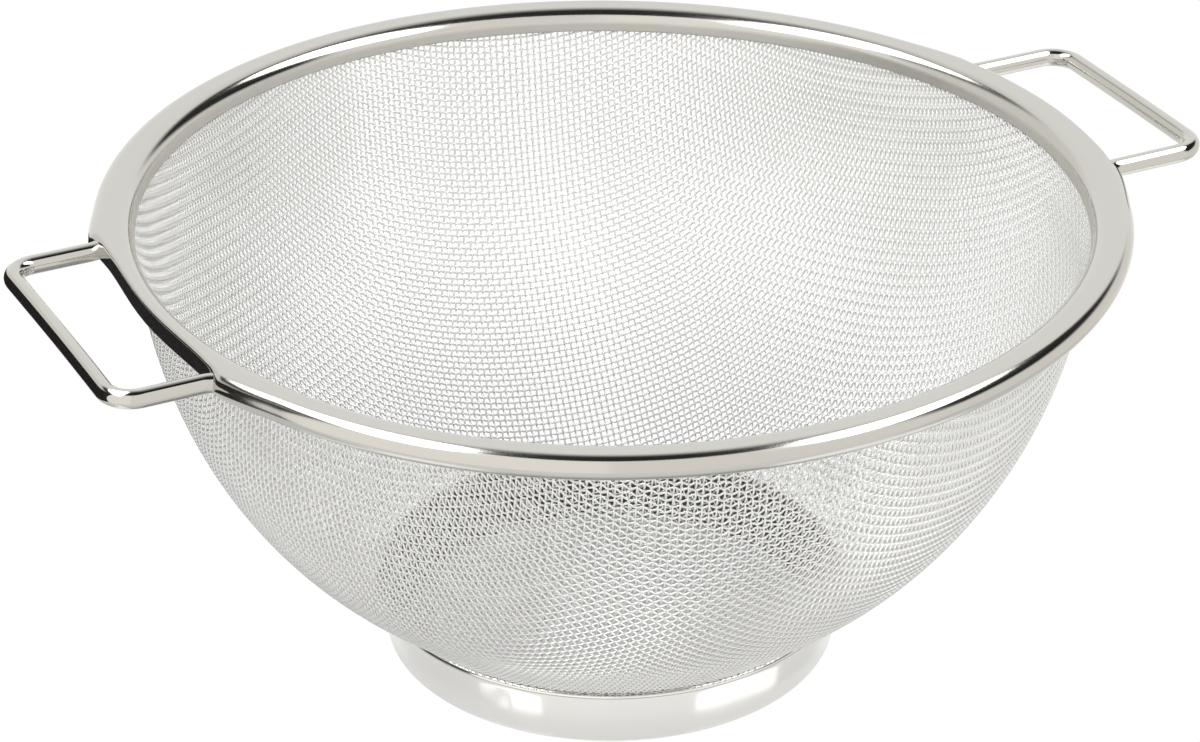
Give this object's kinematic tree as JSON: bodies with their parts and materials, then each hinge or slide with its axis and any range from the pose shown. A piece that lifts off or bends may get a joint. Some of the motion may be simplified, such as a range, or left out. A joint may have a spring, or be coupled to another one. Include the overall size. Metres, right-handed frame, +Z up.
{
  "type": "fine mesh strainer",
  "caption": "Round bowl strainer of woven steel wire cloth in a rolled rim, with a wire loop handle on either side and a sheet-metal foot ring.",
  "frame": {"origin": "centre of the foot ring's underside, on the table", "axes": "+Z up along the axis of the bowl, +X through the grip of the right handle"},
  "size_m": [0.282, 0.24, 0.1148],
  "materials": {
    "wire_cloth": "drawn wire, woven and pressed",
    "rim_strip": "polished stainless steel strip",
    "handle_wire": "polished stainless steel wire",
    "foot_sheet": "satin-polished stainless steel sheet"
  },
  "bodies": {
    "root": {"mesh_bowl": "wire_cloth", "rim_band": "rim_strip", "handle_wire_left": "handle_wire", "handle_wire_right": "handle_wire", "foot_ring": "foot_sheet"}
  },
  "joints": []
}
